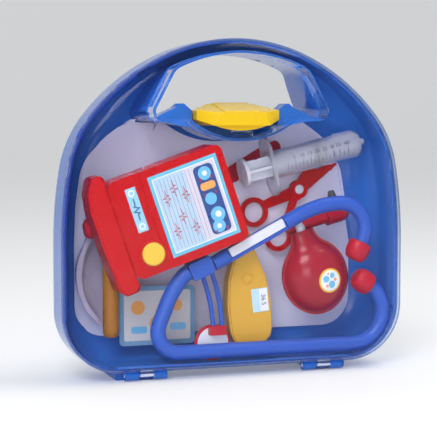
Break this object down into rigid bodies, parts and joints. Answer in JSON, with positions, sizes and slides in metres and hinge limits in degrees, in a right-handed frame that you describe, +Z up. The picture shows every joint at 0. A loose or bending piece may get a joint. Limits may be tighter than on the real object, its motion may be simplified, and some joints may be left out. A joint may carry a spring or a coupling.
{
  "type": "toy doctor case",
  "caption": "Play case with a rounded back shell, a hinged clear cover, a hand window and a flip latch, holding a set of toy doctor instruments.",
  "frame": {"origin": "on the floor, under the middle of the closed case", "axes": "+X to the right seen from the clear front, +Y to the back, +Z up along the case"},
  "size_m": [0.295, 0.078, 0.28],
  "materials": {
    "case_blue": "glossy deep blue moulded plastic",
    "case_clear": "clear polished styrene with a faint blue tint",
    "latch_yellow": "glossy warm yellow plastic",
    "liner_lavender": "thin white sheet with a lavender cast",
    "toy_red": "glossy signal red plastic",
    "button_yellow": "satin yellow plastic",
    "bright_steel": "bright zinc-plated steel",
    "chart_label": "printed label with plain traces on ruled lines",
    "strip_label": "printed light blue label",
    "syringe_barrel": "milky translucent plastic with a printed scale",
    "white_plastic": "glossy white plastic",
    "seal_rubber": "dark soft rubber",
    "tube_blue": "satin blue soft plastic",
    "tip_red": "satin red plastic",
    "pump_red": "glossy crimson plastic",
    "thermometer_yellow": "satin ochre yellow plastic",
    "thermometer_label": "printed label with plain numbers",
    "dial_label": "round printed label with a plain dial",
    "hammer_amber": "amber yellow plastic",
    "dish_white": "glossy white plastic",
    "play_card": "printed card with plain shapes"
  },
  "bodies": {
    "case": {"rear_shell": "case_blue", "hinge_pins": "white_plastic", "back_liner": "liner_lavender", "monitor_front_shell": "toy_red", "monitor_back_shell": "toy_red", "monitor_grip": "toy_red", "monitor_leaf_spring": "bright_steel", "monitor_chart_label": "chart_label", "monitor_strip_label": "strip_label", "monitor_screws": "bright_steel", "syringe_barrel": "syringe_barrel", "stethoscope_yoke": "tube_blue", "stethoscope_upper_arm": "tube_blue", "stethoscope_arm_inlay": "white_plastic", "stethoscope_lower_tube": "tube_blue", "ear_tip_upper": "tip_red", "ear_tip_lower": "tip_red", "stethoscope_twin_tube": "tube_blue", "chest_bell": "tip_red", "chest_diaphragm": "white_plastic", "thermometer_body": "thermometer_yellow", "thermometer_probe": "white_plastic", "thermometer_label": "thermometer_label", "pump_front_half": "pump_red", "pump_back_half": "pump_red", "pump_nozzle": "white_plastic", "pump_dial_label": "dial_label", "hammer_handle": "hammer_amber", "hammer_head": "tip_red", "kidney_dish": "dish_white", "play_card": "play_card", "scissors_fixed_half": "toy_red", "scissors_rivet": "white_plastic", "otoscope_handle": "tip_red", "otoscope_head": "tip_red", "otoscope_cone": "seal_rubber", "tongue_stick": "tip_red"},
    "cover": {"front_cover": "case_clear"},
    "latch": {"latch": "latch_yellow"},
    "button": {"monitor_button": "button_yellow"},
    "plunger": {"syringe_plunger": "white_plastic", "syringe_seal": "seal_rubber"},
    "blade": {"scissors_moving_half": "toy_red"}
  },
  "joints": [
    {"name": "cover_hinge", "type": "hinge", "parent": "case", "child": "cover", "pos_m": [0, -0.019, 0.0045], "axis": [1, 0, 0], "range_deg": [0, 110]},
    {"name": "latch_flip", "type": "hinge", "parent": "case", "child": "latch", "pos_m": [0, -0.01, 0.216], "axis": [-1, 0, 0], "range_deg": [0, 100]},
    {"name": "monitor_button_press", "type": "slide", "parent": "case", "child": "button", "axis": [0, 1, 0], "range_m": [0, 0.0025], "stiffness_N_per_m": 400},
    {"name": "plunger_slide", "type": "slide", "parent": "case", "child": "plunger", "axis": [-0.9724, 0, -0.2334], "range_m": [-0.02, 0.036]},
    {"name": "scissors_pivot", "type": "hinge", "parent": "case", "child": "blade", "pos_m": [0.075, 0.028, 0.152], "axis": [0, 1, 0], "range_deg": [-12, 23]}
  ]
}
